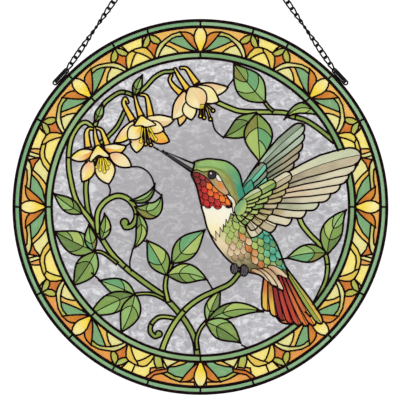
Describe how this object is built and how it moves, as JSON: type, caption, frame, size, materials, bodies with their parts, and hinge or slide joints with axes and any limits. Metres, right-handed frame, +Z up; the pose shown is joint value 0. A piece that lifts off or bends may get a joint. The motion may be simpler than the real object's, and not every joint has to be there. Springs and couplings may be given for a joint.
{
  "type": "round stained glass window panel",
  "caption": "Round leaded glass panel with a hummingbird, hanging flowers and vines inside an ornamental border, hung on two chains from one ring.",
  "frame": {"origin": "the hanging point: the inner top of the top ring, where a hook bears", "axes": "+Z up, -Y towards the viewer in front of the picture, +X to the viewer's right; the panel hangs in the XZ plane"},
  "size_m": [0.508, 0.0088, 0.7147],
  "materials": {
    "lead": "dark maroon-brown patinated lead came",
    "black_metal": "black, satin",
    "green_band_glass": "mottled green",
    "amber_glass": "streaky amber",
    "yellow_glass": "yellow to cream",
    "clear_grey_glass": "hammered, pale grey",
    "vine_glass": "streaky leaf green",
    "flower_glass": "yellow to peach",
    "body_glass": "green, olive and tan, scaled",
    "breast_glass": "olive to tan, scaled",
    "throat_glass": "ruby red",
    "beak_glass": "dark",
    "near_wing_glass": "cream and beige, streaky",
    "far_wing_glass": "grey-green, streaky",
    "tail_glass": "orange, red and yellow"
  },
  "bodies": {
    "root": {"background_1": "clear_grey_glass", "background_10": "clear_grey_glass", "background_11": "clear_grey_glass", "background_12": "clear_grey_glass", "background_13": "clear_grey_glass", "background_14": "clear_grey_glass", "background_2": "clear_grey_glass", "background_3": "clear_grey_glass", "background_4": "clear_grey_glass", "background_5": "clear_grey_glass", "background_6": "clear_grey_glass", "background_7": "clear_grey_glass", "background_8": "clear_grey_glass", "background_9": "clear_grey_glass", "bird_beak": "beak_glass", "bird_body": "body_glass", "bird_breast": "breast_glass", "bird_far_wing": "far_wing_glass", "bird_near_wing": "near_wing_glass", "bird_tail": "tail_glass", "bird_throat": "throat_glass", "border_field_1": "amber_glass", "border_field_2": "amber_glass", "border_field_3": "amber_glass", "border_field_4": "amber_glass", "border_field_5": "amber_glass", "border_field_6": "amber_glass", "border_field_7": "amber_glass", "border_field_8": "amber_glass", "border_teardrop_1": "yellow_glass", "border_teardrop_2": "yellow_glass", "border_teardrop_3": "yellow_glass", "border_teardrop_4": "yellow_glass", "border_teardrop_5": "yellow_glass", "border_teardrop_6": "yellow_glass", "border_teardrop_7": "yellow_glass", "border_teardrop_8": "yellow_glass", "chain_left": "black_metal", "chain_right": "black_metal", "flower_1": "flower_glass", "flower_2": "flower_glass", "flower_3": "flower_glass", "flower_vine_1": "vine_glass", "flower_vine_2": "vine_glass", "inner_band_1": "green_band_glass", "inner_band_2": "green_band_glass", "inner_vine": "vine_glass", "lead_network": "lead", "loop_left": "black_metal", "loop_right": "black_metal", "main_vine_1": "vine_glass", "main_vine_2": "vine_glass", "main_vine_3": "vine_glass", "outer_band_1": "green_band_glass", "outer_band_2": "green_band_glass", "perch_vine": "vine_glass", "right_vine": "vine_glass", "rim_came": "lead", "top_ring": "black_metal", "upper_vine": "vine_glass"}
  },
  "joints": []
}
